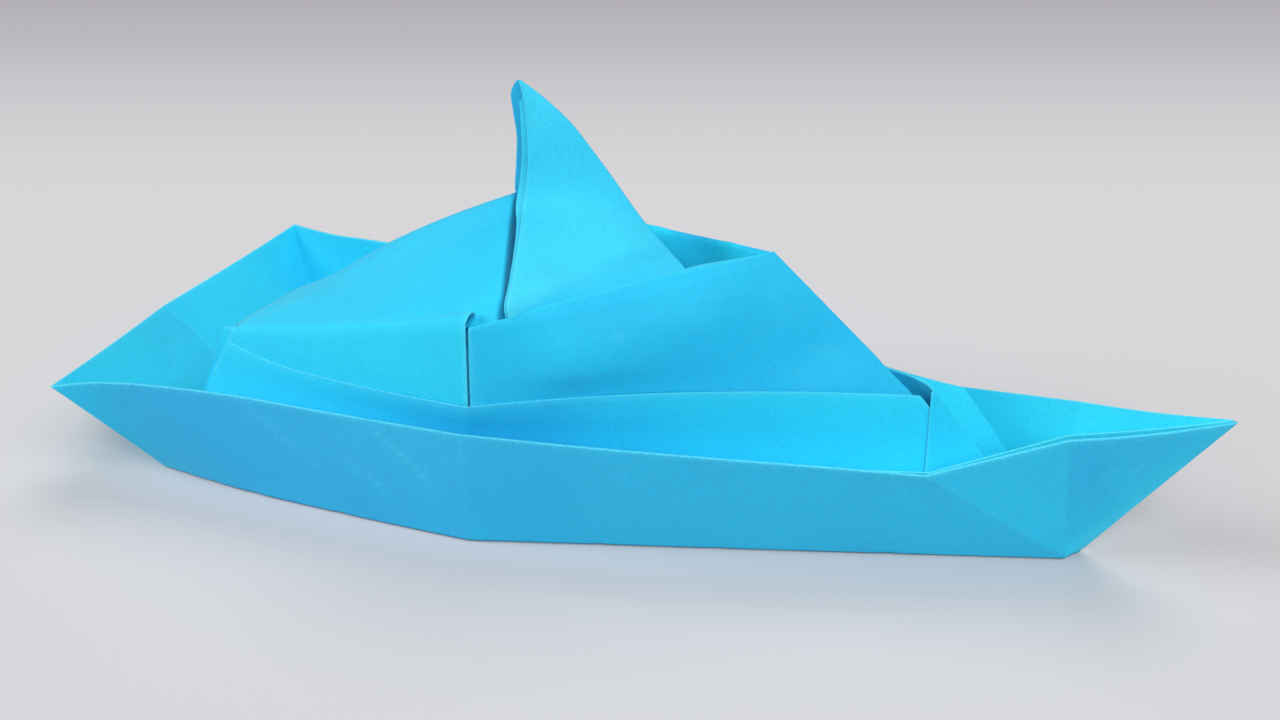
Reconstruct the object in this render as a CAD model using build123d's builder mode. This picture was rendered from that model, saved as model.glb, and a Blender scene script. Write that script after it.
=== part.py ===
from build123d import *
import os

os.makedirs("parts", exist_ok=True)

# Paper boat folded from one A4 sheet, in millimetres
# +X points to the bow, +Z up, the origin lies on the floor under the middle of the boat

# Paper
sheet_width = 210.0
ply = 0.35                           # one layer of paper with the swell of its folds
wall = 0.55                          # hull side, folded double and pressed
layer_gap = 0.35                     # air left between loose layers
sharpest_fold = 2.6                  # most that a fold's corner stands out, in half thicknesses
least_bend = 0.12                    # a row that bends less takes its plane from its neighbours

# Hull
boat_length = 245.0                  # middle of the transom rim to the bow tip
side_band = sheet_width / 8          # width of the folded hull side
crease_set_back = 21.5               # fold across the middle of the sheet, behind mid length
transom_rake = 24.5                  # transom rim behind the transom's bottom fold
corner_rake = 17.2                   # stern corner of the rim behind the same fold
bow_rake = 25.0                      # bow tip ahead of the keel point
cutwater_set_back = 2.0              # bottom corners behind the keel point
facet_foot = 2.5                     # length of the bow facet's lower end along the bottom fold
bottom_half_stern = 37.4
bottom_half_belly = 40.4             # straight run of the bottom ahead of the stern
bottom_half_bow = 4.0
belly_run = 27.0                     # length over which the stern swells to the belly
rim_half_stern = 49.3
rim_z_stern = 23.2
rim_z_transom = 19.2                 # middle of the transom rim
side_flare = 1.6                     # rim outside the bottom fold at the middle crease
shoulder_set_back = 55.2             # rim point where the bow facet starts, behind the bow tip
shoulder_half = 19.8
shoulder_z = 23.3
cheek_set_back = 30.0                # rim point above the keel, behind the bow tip
cheek_half = 8.3
cheek_z = 29.9
bow_z = 35.4
keel_foot_z = 1.3                    # the keel fold ends a little above the bottom
keel_stand_out = 0.9                 # its sharp fold, ahead of the line it is drawn on

# Inner band and the panels inside it
skirt_set_in = 1.7                   # foot of the inner band inside the hull side
skirt_z = 30.7                       # raw edge of the inner band at the middle crease
skirt_swell = 1.2                    # rise of that edge half way to the bow
skirt_stand_off = 1.65               # that edge outside the side panels at the middle crease
skirt_stern_share = 0.9              # height of that edge at the stern, of the panel's own
near_end_share = 0.955               # share of the run to the nose that the near end reaches
lap_foot_share = 0.90                # lower end of the lap's free edge
lap_head_share = 0.985
nose_set_back = 58.2                 # top of the fold that closes the band, behind the bow tip
nose_z = 31.4
nose_foot_set_back = 3.0             # foot of that fold behind the keel point
quarter_set_in = 39.0                # top stern corner of the rear side panel, ahead of the transom
quarter_half = 26.7
quarter_z = 31.8
far_quarter_drop = 6.0               # the far panel leans lower at the stern
far_slit_drop = 3.0                  # and both far panels at the middle crease
slit_z = 47.6                        # top of the side panels at the middle crease
slit_half = 35.8
slit_width = 0.8
slit_step = 1.0                      # the rear panel stands this much above the hood
turn_in = 1.2                        # width of the rear panel's rounded top fold
turn_in_drop = 7.0

# Hood
hood_peak_run = 51.6                 # peak ahead of the middle crease
hood_peak_z = 56.5
hood_foot_set_back = 4.7             # knee of the hood's ridge behind the nose
hood_foot_z = 30.4
hood_keel_set_back = 6.0

# Roof and fin
roof_set_in = 43.0                   # rear rim of the roof ahead of the transom
roof_stern_z = 33.2
roof_overlap = 6.0                   # the roof runs past the middle crease, under the fin
roof_ridge_z = 61.5
roof_shoulder_half = 7.0             # soft crease beside the ridge
roof_shoulder_drop = 2.8
fin_tip_set_back = 3.9               # tip behind the middle crease
fin_tip_z = 86.4
fin_foot_run = 34.1                  # lower end of the fin's front fold ahead of the crease
fin_foot_z = 48.0
fin_corner_run = 11.0                # lower rear corners ahead of the tip
fin_corner_half = 32.0               # and how far they spread over the roof
fin_corner_z = 43.5
fin_layer_step = 2.4                 # far half of the fin behind the near half

stern_x = -boat_length / 2
bow_x = boat_length / 2
crease_x = -crease_set_back
heel_x = stern_x + transom_rake      # bottom fold of the transom
belly_x = heel_x + belly_run
keel_x = bow_x - bow_rake
cutwater_x = keel_x - cutwater_set_back
shoulder_x = bow_x - shoulder_set_back
cheek_x = bow_x - cheek_set_back
nose_x = bow_x - nose_set_back
quarter_x = stern_x + quarter_set_in
hood_peak_x = crease_x + hood_peak_run
hood_foot_x = nose_x - hood_foot_set_back
roof_stern_x = stern_x + roof_set_in
roof_bow_x = crease_x + roof_overlap
fin_tip_x = crease_x - fin_tip_set_back
fin_foot_x = crease_x + fin_foot_run
foot_z = 1.5 * ply                   # leaves stand inside the doubled bottom
lining = ply + layer_gap             # from one layer to the next, middle to middle


def between(start, end, share):
    return start + (end - start) * share


def mix(start, end, share):
    return tuple(between(a, b, share) for a, b in zip(start, end))


def shifted(point, x=0.0, y=0.0, z=0.0):
    return (point[0] + x, point[1] + y, point[2] + z)


def mirrored(row):
    return [(x, -y, z) for x, y, z in row]


def strip_outline(points, half_width, end):
    """Closed outline of a thin strip along a flat run of points, its corners mitred."""
    runs = [(b - a).normalized() for a, b in zip(points, points[1:])]
    sides = [Vector(-run.Y, run.X) for run in runs]
    offsets = [sides[0]]
    for before, after in zip(sides, sides[1:]):
        mitre = (before + after).normalized()
        offsets.append(mitre * min(1 / mitre.dot(before), sharpest_fold))
    offsets.append(sides[-1])
    points = [points[0] - runs[0] * end] + points[1:-1] + [points[-1] + runs[-1] * end]
    left = [point + offset * half_width for point, offset in zip(points, offsets)]
    right = [point - offset * half_width for point, offset in zip(points, offsets)]
    return left + right[::-1]


def leaf(rows, thickness, hem=None):
    """A folded leaf of paper, ruled from each row of points to the next."""
    rows = [[Vector(*point) for point in row] for row in rows]
    centres = [(row[0] + row[-1]) / 2 for row in rows]
    last = len(rows) - 1
    with BuildPart() as sheet:
        for index, row in enumerate(rows):
            here = centres[index]
            rise = row[-1] - row[0]
            before = (here - centres[index - 1]).normalized() if index > 0 else None
            after = (centres[index + 1] - here).normalized() if index < last else None
            on_centre = all(abs(point.Y) < 1e-9 for point in row)
            if before is None:
                before = Vector(-after.X, after.Y, -after.Z) if on_centre else after
            if after is None:
                after = Vector(-before.X, before.Y, -before.Z) if on_centre else before
            along = (before + after).normalized()
            facing = rise.cross(along.cross(rise))
            bend = (row[1] - row[0]).normalized().cross(rise.normalized())
            if bend.length > least_bend:
                facing = bend if bend.dot(along) > 0 else -bend
            plane = Plane(origin=row[0], x_dir=rise, z_dir=facing)
            mitre = min(1 / max(along.dot(after), 0.1), sharpest_fold)
            flat = [plane.to_local_coords(point) for point in row]
            flat = [Vector(point.X, point.Y) for point in flat]
            if hem:
                width, drop = hem
                flat.append(flat[-1] + Vector(0, width))
                flat.append(flat[-1] - Vector(drop, 0))
            with BuildSketch(plane):
                with BuildLine():
                    Polyline(*strip_outline(flat, thickness * mitre / 2, thickness / 2), close=True)
                make_face()
        loft(ruled=True)
    return sheet.part


def bottom_half(x):
    """Half width of the flat bottom at a distance along the boat."""
    if x <= belly_x:
        return between(bottom_half_stern, bottom_half_belly, (x - heel_x) / belly_run)
    if x <= crease_x:
        return bottom_half_belly
    return between(bottom_half_belly, bottom_half_bow, (x - crease_x) / (cutwater_x - crease_x))


def bottom_point(x, inset=0.0):
    return (x, inset - bottom_half(x), foot_z)


# Flat bottom
with BuildPart() as bottom:
    with BuildSketch():
        with BuildLine():
            Polyline(
                (heel_x, 0),
                (heel_x, -bottom_half_stern),
                (belly_x, -bottom_half_belly),
                (crease_x, -bottom_half_belly),
                (cutwater_x, -bottom_half_bow),
                (keel_x, 0),
                close=True,
            )
        make_face()
        mirror(about=Plane.XZ)
    extrude(amount=2 * ply)

# Near half of the hull: transom, side, bow facet below the rim's shoulder, bow leaf to the tip
rim_z = (side_band**2 - side_flare**2) ** 0.5
corner_rim = (heel_x - corner_rake, -rim_half_stern, rim_z_stern)
belly_rim = (belly_x, -bottom_half_belly - side_flare, rim_z - ply)
crease_rim = (crease_x, -bottom_half_belly - side_flare, rim_z)
shoulder_rim = (shoulder_x, -shoulder_half, shoulder_z)
quarter_rim = (
    between(corner_rim[0], belly_rim[0], 0.34),
    between(corner_rim[1], belly_rim[1], 0.72),
    between(corner_rim[2], belly_rim[2], 0.50),
)
waist_rim = (
    between(crease_x, shoulder_x, 0.52),
    between(crease_rim[1], shoulder_rim[1], 0.52),
    between(rim_z, shoulder_z, 0.40),
)
hull_half = leaf(
    [
        [(heel_x, 0, foot_z), (stern_x + wall / 2, 0, rim_z_transom)],
        [bottom_point(heel_x), corner_rim],
        [bottom_point(heel_x + belly_run / 3), quarter_rim],
        [bottom_point(belly_x), belly_rim],
        [bottom_point(crease_x), crease_rim],
        [bottom_point(between(crease_x, cutwater_x, 0.42)), waist_rim],
        [bottom_point(cutwater_x - facet_foot), shoulder_rim],
        [bottom_point(cutwater_x), (cheek_x, -cheek_half, cheek_z)],
        [(keel_x, 0, keel_foot_z), (bow_x - keel_stand_out, 0, bow_z)],
    ],
    wall,
)

# Rear side panels, their top folds rounded over and turned down inside
rear_slit_x = crease_x - slit_width / 2
rear_feet = [
    bottom_point(x, skirt_set_in + lining)
    for x in (heel_x + 2 * ply, between(heel_x, rear_slit_x, 0.5), rear_slit_x)
]


def rear_top(quarter_drop=0.0, slit_drop=0.0):
    """Stern corner and middle crease corner of a rear side panel's top fold."""
    quarter = (quarter_x, -quarter_half, quarter_z - quarter_drop)
    return quarter, (rear_slit_x, -slit_half, slit_z + slit_step - slit_drop)


def rear_heads(top):
    return [mix(*top, share) for share in (0.0, 0.5, 1.0)]


near_top = rear_top()
far_top = rear_top(far_quarter_drop, far_slit_drop)
hem = (turn_in, turn_in_drop)
rear_near = leaf(list(zip(rear_feet, rear_heads(near_top))), ply, hem)
rear_far = leaf(list(zip(rear_feet, rear_heads(far_top))), ply, hem)

# Inner band: one run from stern to bow on each side, with a raw upper edge
skirt_mid = (crease_x, -slit_half - skirt_stand_off, skirt_z)
nose = (nose_x, 0, nose_z)


def stern_skirt(top):
    foot = rear_feet[0]
    edge = mix(foot, top[0], skirt_stern_share)
    return [shifted(foot, y=-lining), shifted(edge, y=-lining)]


def bow_skirt(share, outward=0.0):
    foot = bottom_point(between(crease_x, cutwater_x, share), skirt_set_in - outward)
    swell = skirt_swell * 4 * share * (1 - share)
    return [foot, shifted(mix(skirt_mid, nose, share), y=-outward, z=swell)]


bow_run = [[bottom_point(crease_x, skirt_set_in), skirt_mid]]
bow_run += [bow_skirt(share) for share in (0.33, 0.66)]
far_run = [mirrored(row) for row in [stern_skirt(far_top)] + bow_run]
nose_row = [(keel_x - nose_foot_set_back, 0, foot_z), nose]
lap_row = [bow_skirt(lap_foot_share, lining)[0], bow_skirt(lap_head_share, lining)[1]]
band_near = leaf([stern_skirt(near_top)] + bow_run + [bow_skirt(near_end_share)], ply)
band_far = leaf(far_run + [nose_row, lap_row], ply)

# Hood: each side has a knee at the band's raw edge and leans in to the ridge above it
hood_slit_x = crease_x + slit_width / 2
knee_slit = (hood_slit_x, skirt_mid[1] + lining, skirt_z)
hood_foot = (hood_foot_x, 0, hood_foot_z)
hood_peak = (hood_peak_x, 0, hood_peak_z)
hood_ridge = [(keel_x - hood_keel_set_back, 0, foot_z), hood_foot, hood_peak]


def hood_half(slit_drop=0.0):
    """One side of the hood, from the middle crease to the ridge."""
    slit = (hood_slit_x, -slit_half - ply, slit_z - slit_drop)
    slit_row = [bottom_point(hood_slit_x, skirt_set_in + lining), knee_slit, slit]
    middle_row = [
        bottom_point(between(crease_x, cutwater_x, 0.48), skirt_set_in + lining),
        mix(knee_slit, hood_foot, 0.5),
        mix(slit, hood_peak, 0.5),
    ]
    return leaf([slit_row, middle_row, hood_ridge], ply)


hood_near = hood_half()
hood_far = hood_half(far_slit_drop)


def roof_half(x, shoulder_z, foot_share, top):
    head = mix(*top, foot_share)
    foot = (x, head[1] + 0.7 * turn_in, head[2] - 2 * turn_in)
    return [foot, (x, -roof_shoulder_half, shoulder_z)]


# Roof, from a low arch at the stern to the ridge that runs in under the fin
roof_rows = []
for share, rise_share in ((0.0, 0.0), (0.14, 0.12), (0.36, 0.43), (0.67, 0.83), (1.0, 1.0)):
    x = between(roof_stern_x, roof_bow_x, share)
    ridge_z = between(roof_stern_z, roof_ridge_z, rise_share)
    shoulder_z = ridge_z - roof_shoulder_drop * min(1.0, 0.2 + 6 * share)
    foot_share = min(1.0, (x - quarter_x) / (rear_slit_x - quarter_x))
    near = roof_half(x, shoulder_z, foot_share, near_top)
    far = roof_half(x, shoulder_z, foot_share, far_top)
    roof_rows.append(near + [(x, 0, ridge_z)] + mirrored(reversed(far)))
roof = leaf(roof_rows, ply)

# Fin, folded along its front edge and open behind; its two halves spread over the roof
fin_rear_shares = [                  # of the run, the spread and the height down to the lower corners
    (0.05, 0.016, 0.014),
    (0.15, 0.047, 0.135),
    (0.27, 0.081, 0.301),
    (0.28, 0.156, 0.522),
    (0.51, 0.516, 0.727),
    (0.87, 0.969, 0.918),
    (1.0, 1.0, 1.0),
]
fin_front_shares = [                 # of the run and the height down to the fin's foot
    (0.03, 0.0),
    (0.22, 0.13),
    (0.43, 0.35),
    (0.66, 0.64),
    (0.87, 0.87),
    (1.0, 1.0),
    (1.06, 1.1),
]
fin_rows = []
for (run, spread, fall), (front_run, front_fall) in zip(fin_rear_shares, fin_front_shares):
    x = fin_tip_x + run * fin_corner_run
    half = spread * fin_corner_half
    z = between(fin_tip_z, fin_corner_z, fall)
    front = (between(fin_tip_x, fin_foot_x, front_run), 0, between(fin_tip_z, fin_foot_z, front_fall))
    step = fin_layer_step * min(1.0, half / fin_layer_step)
    fin_rows.append([(x, -half, z), front, (x - step, half, z)])
fin = leaf(fin_rows, ply)

with BuildPart() as folded_sheet:
    add(bottom.part)
    add(hull_half)
    mirror(hull_half, about=Plane.XZ)
    for near_leaf, far_leaf in ((rear_near, rear_far), (hood_near, hood_far)):
        add(near_leaf)
        add(far_leaf.mirror(Plane.XZ))
    for whole in (roof, fin, band_near, band_far):
        add(whole)
folded_sheet.part.label = "folded_sheet"
print("valid", folded_sheet.part.is_valid, "solids", len(folded_sheet.solids()))
print(folded_sheet.part.bounding_box())
export_step(folded_sheet.part, "parts/folded_sheet.step")
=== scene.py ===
import math

import bmesh
import bpy
import numpy as np
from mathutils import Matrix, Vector


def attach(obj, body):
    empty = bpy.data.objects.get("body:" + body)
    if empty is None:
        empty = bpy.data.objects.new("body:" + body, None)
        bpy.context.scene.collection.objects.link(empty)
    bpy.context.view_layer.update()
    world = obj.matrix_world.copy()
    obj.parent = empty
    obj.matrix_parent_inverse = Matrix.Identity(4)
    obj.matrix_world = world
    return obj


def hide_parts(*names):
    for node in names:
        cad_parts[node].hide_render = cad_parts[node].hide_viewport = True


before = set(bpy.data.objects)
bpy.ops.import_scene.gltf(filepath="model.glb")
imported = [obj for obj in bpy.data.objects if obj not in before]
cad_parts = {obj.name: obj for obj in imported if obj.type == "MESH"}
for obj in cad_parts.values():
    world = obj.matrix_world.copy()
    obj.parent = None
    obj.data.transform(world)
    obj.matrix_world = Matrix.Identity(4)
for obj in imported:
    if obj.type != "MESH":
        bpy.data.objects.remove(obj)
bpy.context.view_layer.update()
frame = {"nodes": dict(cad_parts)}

mm = 0.001  # the points below are in millimetres, Blender works in metres
print("frame loaded:", ", ".join(frame["nodes"]))


def blend(a, b, share):
    return tuple(x + (y - x) * share for x, y in zip(a, b))


def moved(point, x=0.0, y=0.0, z=0.0):
    return (point[0] + x, point[1] + y, point[2] + z)


def mirrored(rows):
    return [[(x, -y, z) for x, y, z in row] for row in rows]


# Leaves of paper: every leaf is a net of points, smooth between its folds and sharp across them

leafMaker = {
    "step": 1.5,                # size of a mesh cell
    "shortest": 0.001,          # least length that a span counts as
    "foldRound": 0.45,          # half width of the rounding of a pressed fold
    "foldRoom": 0.4,            # a rounding that takes more than this share of its span is left out
    "foldClear": 1.4,           # other points keep this many roundings away from a fold
    "foldGive": 0.5,            # how far a fold's own line gives way to its neighbours
    "wearAndHighlightWidth": 0.4,           # how far the paler paper, worn and painted as a highlight, reaches from a fold or an edge
    "foldWearAndHighlight": 0.16,           # how much paler a fold is painted beside a raw edge, as wear and as a painted highlight
    "creaseWearAndHighlight": 0.35,         # how pale a narrow crease is painted, as wear and as a painted highlight, and how far that reaches
    "creaseWearAndHighlightWidth": 0.48,
    "creaseEnds": (4.0, 0.15),  # how fast a crease grows from its ends, and its share right there
    "softFrom": 3.5,            # a crease broader than this is a soft swell and leaves no mark
    "calm": 12.0,               # distance from a fold over which cockling grows to its full height
    "weld": 0.02,               # points of a piece's leaves closer than this become one
}


def columnOf(values, like):
    # values along the first axis, shaped to go with an array of more axes
    return values.reshape((-1,) + (1,) * (like.ndim - 1))


def endSlopes(slope, length, k, smoothBefore, smoothAfter):
    # a smooth station shares its slope with the next span, a fold leaves the span free
    slopeA = slopeB = slope[k]
    if smoothBefore:
        slopeA = (slope[k - 1] * length[k] + slope[k] * length[k - 1]) / (length[k - 1] + length[k])
    if smoothAfter:
        slopeB = (slope[k] * length[k + 1] + slope[k + 1] * length[k]) / (length[k] + length[k + 1])
    if not smoothBefore:
        slopeA = 1.5 * slope[k] - 0.5 * slopeB
    if not smoothAfter:
        slopeB = 1.5 * slope[k] - 0.5 * slopeA
    return slopeA, slopeB


def spanShares(cells, near, smoothBefore, smoothAfter):
    # even shares of a span, with two more close to a fold, which give the fold its rounding
    shares = set(np.round(np.linspace(0, 1, cells + 1), 5))
    clear = leafMaker["foldClear"] * near
    if near < leafMaker["foldRoom"]:
        if not smoothBefore:
            shares = {s for s in shares if s == 0 or s > clear} | {near / 2, near}
        if not smoothAfter:
            shares = {s for s in shares if s == 1 or s < 1 - clear} | {1 - near / 2, 1 - near}
    return sorted(shares)


def curvePoint(start, end, slopeA, slopeB, length, s):
    # a cubic that leaves the start and reaches the end by the given slopes
    bySlope = (s**3 - 2 * s**2 + s) * slopeA + (s**3 - s**2) * slopeB
    return (2 * s**3 - 3 * s**2 + 1) * start + (3 * s**2 - 2 * s**3) * end + length * bySlope


def smoothThrough(stations, folds, step, foldRound):
    # fine points through the stations on the first axis, their places counted in stations,
    # and how far each lies from a fold and from either end
    count = len(stations)
    gaps = stations[1:] - stations[:-1]
    length = np.sqrt((gaps ** 2).sum(-1)).reshape(count - 1, -1).mean(1)
    length = np.maximum(length, leafMaker["shortest"])
    slope = gaps / columnOf(length, gaps)
    hard = set(folds) | {0, count - 1}
    starts = np.concatenate([[0.0], np.cumsum(length)])
    places, finePoints, travel = [], [], []
    for k in range(count - 1):
        smooth = (k not in hard, k + 1 not in hard)
        slopeA, slopeB = endSlopes(slope, length, k, *smooth)
        for s in spanShares(max(1, round(length[k] / step)), foldRound / length[k], *smooth):
            if s == 1 and k < count - 2:
                continue
            finePoints.append(curvePoint(stations[k], stations[k + 1], slopeA, slopeB, length[k], s))
            places.append(k + s)
            travel.append(starts[k] + s * length[k])
    travel = np.array(travel)
    toFold = np.full(len(travel), np.inf)
    for k in folds:
        toFold = np.minimum(toFold, np.abs(travel - starts[k]))
    ways = {"fold": toFold, "start": travel, "end": travel[-1] - travel}
    return np.array(finePoints), np.array(places), ways


def roundFolds(net, places, folds):
    # a fold's line gives way a little, so that it bends over a small radius
    give = leafMaker["foldGive"]
    for k in folds:
        at = int(np.abs(places - k).argmin())
        if 0 < at < len(net) - 1:
            net[at] = (1 - give) * net[at] + give / 2 * (net[at - 1] + net[at + 1])


def netNormals(net):
    normal = np.cross(np.gradient(net, axis=0), np.gradient(net, axis=1))
    size = np.linalg.norm(normal, axis=-1, keepdims=True)
    return normal / np.maximum(size, 1e-9)


def netPoint(net, rowPlaces, columnPlaces, row, column):
    r = int(np.abs(rowPlaces - row).argmin())
    c = int(np.abs(columnPlaces - column).argmin())
    return net[r, c]


def bellyLift(rowPlaces, columnPlaces, fromRow, toRow, fromColumn, toColumn, height):
    r = np.clip((rowPlaces - fromRow) / (toRow - fromRow), 0, 1)[:, None]
    c = np.clip((columnPlaces - fromColumn) / (toColumn - fromColumn), 0, 1)[None, :]
    return height * np.sin(np.pi * r) * np.sin(np.pi * c)


def creaseLift(net, start, end, height, width, bends):
    # how far a crease lifts the paper, and how pale a narrow one is painted, as wear and as a painted
    # highlight
    run = end - start
    share = np.clip(((net - start) @ run) / (run @ run), 0, 1)
    away = np.linalg.norm(net - (start + share[..., None] * run), axis=-1)
    growth, least = leafMaker["creaseEnds"]
    fade = np.clip(growth * np.minimum(share, 1 - share) + least, 0, 1)
    if width > leafMaker["softFrom"]:
        return height * fade * np.exp(-(away / width) ** 2) * np.clip(bends / width, 0, 1), 0.0
    wornAndHighlit = leafMaker["creaseWearAndHighlight"] * fade * np.exp(-away / leafMaker["creaseWearAndHighlightWidth"])
    return height * fade * np.exp(-away / width), wornAndHighlit


def leaf(rows, rowFolds=(), columnFolds=(), bellies=(), creases=(), step=leafMaker["step"],
         foldRound=leafMaker["foldRound"], foldWearAndHighlight=leafMaker["foldWearAndHighlight"], raw=("first", "last", "top")):
    # rows: points from foot to top, as many in each row
    # bellies: from row, to row, from column, to column, height
    # creases: from row, from column, to row, to column, height, width
    # raw: edges painted paler, as worn paper and as a painted highlight, among the first and last row, the
    # foot and the top
    # gives the net with how pale it is painted, as wear and as a painted highlight, and how free it is to
    # cockle, point by point
    net, rowPlaces, rowWay = smoothThrough(np.array(rows, float), rowFolds, step, foldRound)
    net, columnPlaces, columnWay = smoothThrough(net.swapaxes(0, 1), columnFolds, step, foldRound)
    roundFolds(net, columnPlaces, columnFolds)
    net = net.swapaxes(0, 1)
    roundFolds(net, rowPlaces, rowFolds)
    bends = np.minimum(rowWay["fold"][:, None], columnWay["fold"][None, :])
    lift = np.zeros(net.shape[:2])
    wearAndHighlight = np.zeros(net.shape[:2])
    for belly in bellies:
        lift += bellyLift(rowPlaces, columnPlaces, *belly)
    for fromRow, fromColumn, toRow, toColumn, height, width in creases:
        start = netPoint(net, rowPlaces, columnPlaces, fromRow, fromColumn)
        end = netPoint(net, rowPlaces, columnPlaces, toRow, toColumn)
        rise, wornAndHighlit = creaseLift(net, start, end, height, width, bends)
        lift += rise
        wearAndHighlight = np.maximum(wearAndHighlight, wornAndHighlit)
    net = net + netNormals(net) * lift[..., None]
    # folds painted paler, as wear and as a painted highlight
    wearAndHighlight = np.maximum(wearAndHighlight, foldWearAndHighlight * np.exp(-bends / leafMaker["wearAndHighlightWidth"]))
    edges = {
        "first": rowWay["start"][:, None],
        "last": rowWay["end"][:, None],
        "foot": columnWay["start"][None, :],
        "top": columnWay["end"][None, :],
    }
    way = bends
    for name, distance in edges.items():
        way = np.minimum(way, distance)
        if name in raw:
            wearAndHighlight = np.maximum(wearAndHighlight, np.exp(-distance / leafMaker["wearAndHighlightWidth"]))
    return {"net": net, "wearAndHighlight": wearAndHighlight, "freedom": np.clip(way / leafMaker["calm"], 0, 1)}


# Ply: the node tree that gives a net of paper its cockling and its thickness, and closes it

plyLook = {
    "cockleSize": 30.0,
    "cockleDetail": 2.5,
    "cockleRoughness": 0.45,
    "weld": 0.002,       # joins the two faces of the paper along its edges
}


def addNode(tree, kind, settings=(), inputs=()):
    node = tree.nodes.new(kind)
    for name, value in dict(settings).items():
        setattr(node, name, value)
    for name, value in dict(inputs).items():
        node.inputs[name].default_value = value
    return node


def plyTree(look):
    tree = bpy.data.node_groups.new("paperPly", "GeometryNodeTree")
    for name, side, kind in (
        ("Geometry", "INPUT", "NodeSocketGeometry"),
        ("Thickness", "INPUT", "NodeSocketFloat"),
        ("Cockle Height", "INPUT", "NodeSocketFloat"),
        ("Cockle Size", "INPUT", "NodeSocketFloat"),
        ("Cockle Seed", "INPUT", "NodeSocketFloat"),
        ("Paper", "INPUT", "NodeSocketMaterial"),
        ("Geometry", "OUTPUT", "NodeSocketGeometry"),
    ):
        tree.interface.new_socket(name, in_out=side, socket_type=kind)
    links = tree.links
    given = addNode(tree, "NodeGroupInput").outputs
    result = addNode(tree, "NodeGroupOutput")
    position = addNode(tree, "GeometryNodeInputPosition")
    normal = addNode(tree, "GeometryNodeInputNormal")
    freedom = addNode(tree, "GeometryNodeInputNamedAttribute", {"data_type": "FLOAT"}, {"Name": "freedom"})

    # cockling: a slow noise along the normal, held still near folds and edges
    cockle = addNode(tree, "ShaderNodeTexNoise", {"noise_dimensions": "4D"},
                     {"Detail": look["cockleDetail"], "Roughness": look["cockleRoughness"]})
    centred = addNode(tree, "ShaderNodeMath", {"operation": "SUBTRACT"}, {1: 0.5})
    high = addNode(tree, "ShaderNodeMath", {"operation": "MULTIPLY"})
    held = addNode(tree, "ShaderNodeMath", {"operation": "MULTIPLY"})
    wave = addNode(tree, "ShaderNodeVectorMath", {"operation": "SCALE"})
    cockled = addNode(tree, "GeometryNodeSetPosition")
    links.new(position.outputs[0], cockle.inputs["Vector"])
    links.new(given["Cockle Size"], cockle.inputs["Scale"])
    links.new(given["Cockle Seed"], cockle.inputs["W"])
    links.new(cockle.outputs["Fac"], centred.inputs[0])
    links.new(centred.outputs[0], high.inputs[0])
    links.new(given["Cockle Height"], high.inputs[1])
    links.new(high.outputs[0], held.inputs[0])
    links.new(freedom.outputs["Attribute"], held.inputs[1])
    links.new(normal.outputs[0], wave.inputs[0])
    links.new(held.outputs[0], wave.inputs["Scale"])
    links.new(given["Geometry"], cockled.inputs["Geometry"])
    links.new(wave.outputs[0], cockled.inputs["Offset"])

    # thickness: one face half of it back, the other extruded from there
    halfBack = addNode(tree, "ShaderNodeMath", {"operation": "MULTIPLY"}, {1: -0.5})
    back = addNode(tree, "ShaderNodeVectorMath", {"operation": "SCALE"})
    lower = addNode(tree, "GeometryNodeSetPosition")
    extrude = addNode(tree, "GeometryNodeExtrudeMesh", {"mode": "FACES"}, {"Individual": False})
    flip = addNode(tree, "GeometryNodeFlipFaces")
    both = addNode(tree, "GeometryNodeJoinGeometry")
    weld = addNode(tree, "GeometryNodeMergeByDistance", inputs={"Distance": look["weld"] * mm})
    smooth = addNode(tree, "GeometryNodeSetShadeSmooth")
    real = addNode(tree, "GeometryNodeRealizeInstances")
    paper = addNode(tree, "GeometryNodeSetMaterial")
    links.new(given["Thickness"], halfBack.inputs[0])
    links.new(normal.outputs[0], back.inputs[0])
    links.new(halfBack.outputs[0], back.inputs["Scale"])
    links.new(cockled.outputs[0], lower.inputs["Geometry"])
    links.new(back.outputs[0], lower.inputs["Offset"])
    links.new(lower.outputs[0], extrude.inputs["Mesh"])
    links.new(given["Thickness"], extrude.inputs["Offset Scale"])
    links.new(lower.outputs[0], flip.inputs[0])
    links.new(flip.outputs[0], both.inputs[0])
    links.new(extrude.outputs["Mesh"], both.inputs[0])
    links.new(both.outputs[0], weld.inputs["Geometry"])
    links.new(weld.outputs[0], smooth.inputs["Geometry"])
    links.new(smooth.outputs[0], real.inputs[0])
    links.new(real.outputs[0], paper.inputs["Geometry"])
    links.new(given["Paper"], paper.inputs["Material"])
    links.new(paper.outputs[0], result.inputs[0])
    return tree


def socketKey(tree, name):
    for item in tree.interface.items_tree:
        if item.item_type == "SOCKET" and item.in_out == "INPUT" and item.name == name:
            return item.identifier
    raise KeyError(name)


def leafMesh(name, leaves):
    # one mesh of all the nets of a piece, its doubled points merged
    mesh = bmesh.new()
    wearAndHighlightLayer = mesh.verts.layers.float.new("wearAndHighlight")
    freedomLayer = mesh.verts.layers.float.new("freedom")
    for part in leaves:
        net = part["net"] * mm
        rows, columns = net.shape[:2]
        grid = []
        for r in range(rows):
            line = []
            for c in range(columns):
                vert = mesh.verts.new(net[r, c])
                vert[wearAndHighlightLayer] = part["wearAndHighlight"][r, c]
                vert[freedomLayer] = part["freedom"][r, c]
                line.append(vert)
            grid.append(line)
        for r in range(rows - 1):
            for c in range(columns - 1):
                mesh.faces.new((grid[r][c], grid[r + 1][c], grid[r + 1][c + 1], grid[r][c + 1]))
    bmesh.ops.remove_doubles(mesh, verts=mesh.verts, dist=leafMaker["weld"] * mm)
    bmesh.ops.recalc_face_normals(mesh, faces=mesh.faces)
    data = bpy.data.meshes.new(name)
    mesh.to_mesh(data)
    mesh.free()
    return data


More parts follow.
